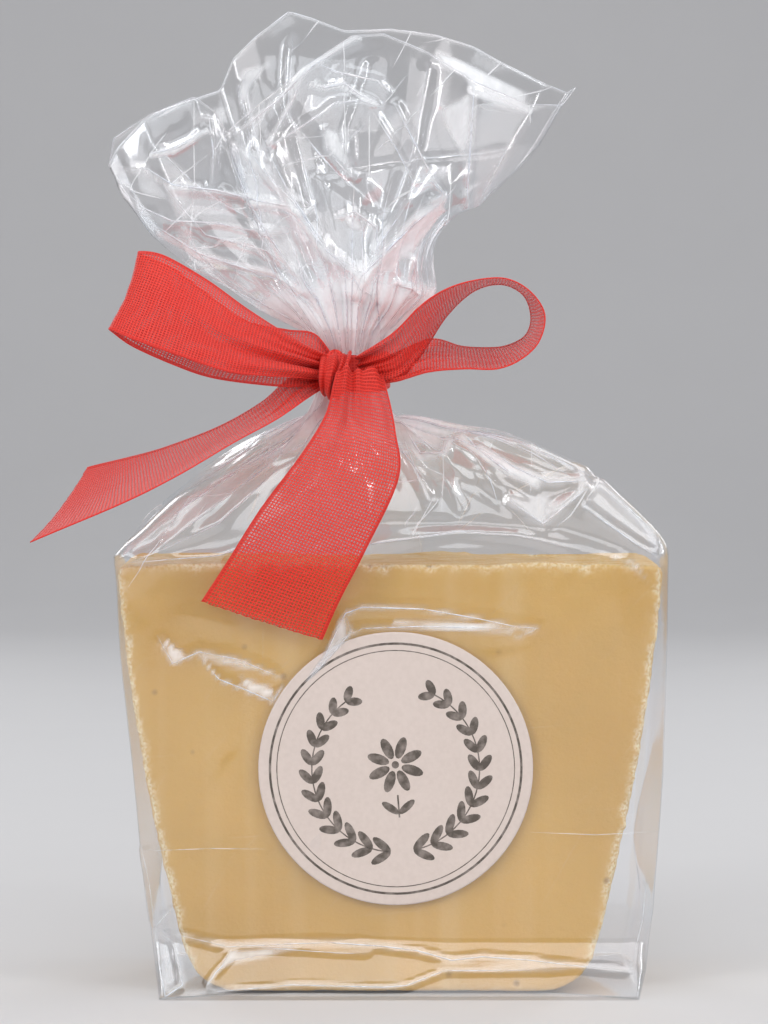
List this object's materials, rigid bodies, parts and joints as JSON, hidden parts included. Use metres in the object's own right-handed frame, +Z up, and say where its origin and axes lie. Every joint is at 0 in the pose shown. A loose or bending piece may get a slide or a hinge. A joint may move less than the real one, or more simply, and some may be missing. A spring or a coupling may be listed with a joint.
{
  "type": "bar of soap",
  "caption": "Tapered slice of cream loaf soap standing in a clear film bag that is gathered above it, tied with a sheer ribbon bow and closed with a round paper sticker.",
  "frame": {"origin": "middle of the bag's flat base", "axes": "+Z up, +X to the viewer's right, -Y out of the face with the sticker, towards the viewer"},
  "size_m": [0.0932, 0.0406, 0.1462],
  "materials": {
    "soap": "matte, waxy",
    "film": "clear glossy film",
    "ribbon": "sheer woven",
    "label": "uncoated paper"
  },
  "bodies": {
    "root": {"soap_bar": "soap", "film_bag": "film", "ribbon_bow": "ribbon", "round_label": "label"}
  },
  "joints": []
}
